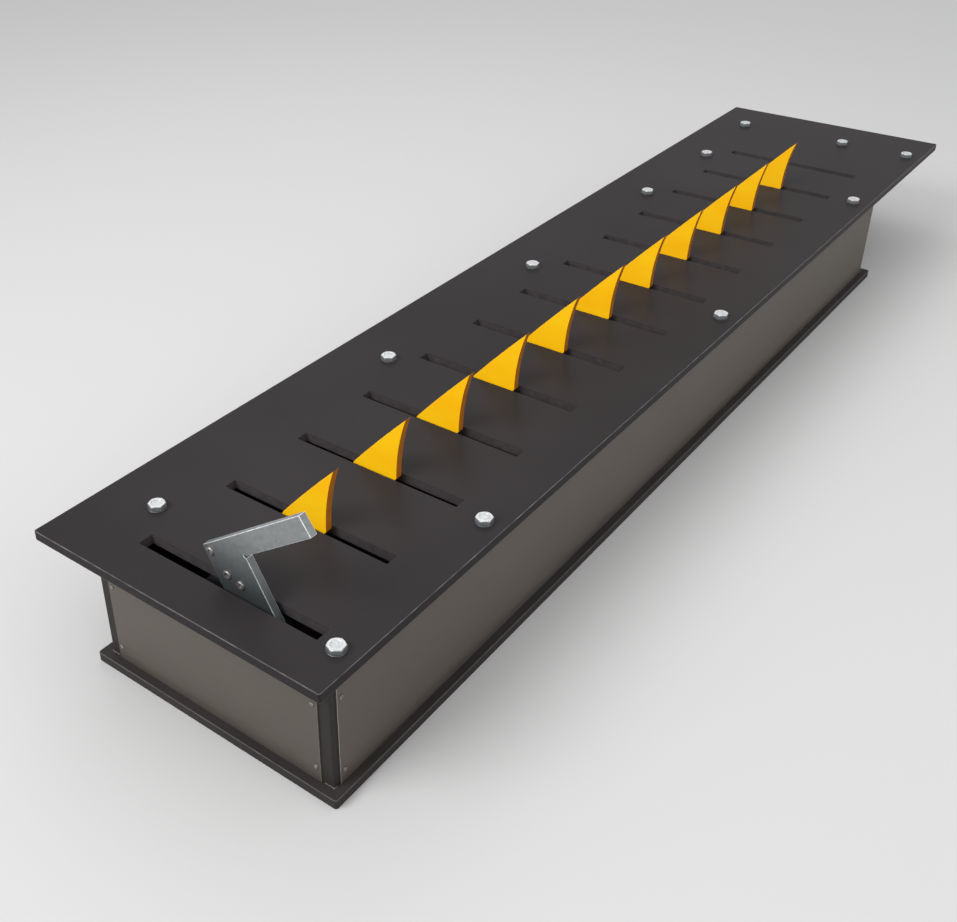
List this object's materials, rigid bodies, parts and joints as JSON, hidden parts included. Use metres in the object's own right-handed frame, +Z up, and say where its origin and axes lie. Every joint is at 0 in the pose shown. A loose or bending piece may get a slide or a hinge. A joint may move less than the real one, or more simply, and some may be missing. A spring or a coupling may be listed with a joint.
{
  "type": "tyre spike strip",
  "caption": "One-way traffic barrier: slotted deck plate on a low box frame, with a row of pivoting tyre spikes on a counterweighted shaft and a foot lever that lowers them.",
  "frame": {"origin": "on the ground under the middle of the deck plate", "axes": "+X along the row from the foot lever towards the far end, +Y towards the side that tyres come from, +Z up; the spike tips lean towards -Y"},
  "size_m": [3.03, 0.68, 0.5118],
  "materials": {
    "deck": "satin charcoal paint",
    "frame_paint": "satin near-black paint",
    "panel_steel": "dull brushed sheet, warm grey",
    "zinc": "bright zinc plating",
    "galvanised": "dull galvanised plate",
    "bare_steel": "oiled bare steel",
    "bronze": "plain bearing bronze",
    "buffer_rubber": "matt black rubber",
    "spike_yellow": "glossy safety yellow paint"
  },
  "bodies": {
    "frame": {"base_plate": "frame_paint", "deck_plate": "deck", "deck_bolts": "zinc", "deck_washers": "zinc", "deck_nuts": "zinc", "tip_side_tube": "frame_paint", "back_side_tube": "frame_paint", "near_end_tube": "frame_paint", "far_end_tube": "frame_paint", "overhang_tube": "frame_paint", "cross_tubes": "frame_paint", "post_near_tip": "frame_paint", "post_near_back": "frame_paint", "post_far_tip": "frame_paint", "post_far_back": "frame_paint", "side_posts": "frame_paint", "near_panel": "panel_steel", "far_panel": "panel_steel", "tip_side_panel": "panel_steel", "back_side_panel": "panel_steel", "panel_screws": "zinc", "bearing_pedestals": "frame_paint", "bearing_bushes": "bronze", "rest_stops": "frame_paint", "rest_buffers": "buffer_rubber", "press_buffers": "buffer_rubber", "lever_bracket": "frame_paint", "lever_pin": "bare_steel"},
    "spike_shaft": {"shaft": "bare_steel", "shaft_collars": "bare_steel", "spike_sleeves": "bare_steel", "counterweight_bar": "bare_steel", "shaft_crank": "bare_steel", "spike_01": "spike_yellow", "spike_02": "spike_yellow", "spike_03": "spike_yellow", "spike_04": "spike_yellow", "spike_05": "spike_yellow", "spike_06": "spike_yellow", "spike_07": "spike_yellow", "spike_08": "spike_yellow", "spike_09": "spike_yellow", "spike_10": "spike_yellow", "spike_11": "spike_yellow"},
    "pedal": {"lever_plate": "galvanised", "lever_hub": "bare_steel", "lever_bolts": "zinc"},
    "link": {"link_bar": "bare_steel", "link_pins": "bare_steel"}
  },
  "joints": [
    {"name": "spike_turn", "type": "hinge", "parent": "frame", "child": "spike_shaft", "pos_m": [-0.05925, 0.01, 0.216], "axis": [1, 0, 0], "range_deg": [0, 48]},
    {"name": "lever_turn", "type": "hinge", "parent": "frame", "child": "pedal", "pos_m": [-1.4, -0.136, 0.216], "axis": [1, 0, 0], "range_deg": [0, 48]},
    {"name": "link_turn", "type": "hinge", "parent": "pedal", "child": "link", "pos_m": [-1.4, -0.136, 0.154], "axis": [1, 0, 0], "range_deg": [-48, 0]}
  ],
  "couplings": [
    {"joint": "lever_turn", "follows": "spike_turn", "ratio": 1},
    {"joint": "link_turn", "follows": "spike_turn", "ratio": -1}
  ]
}
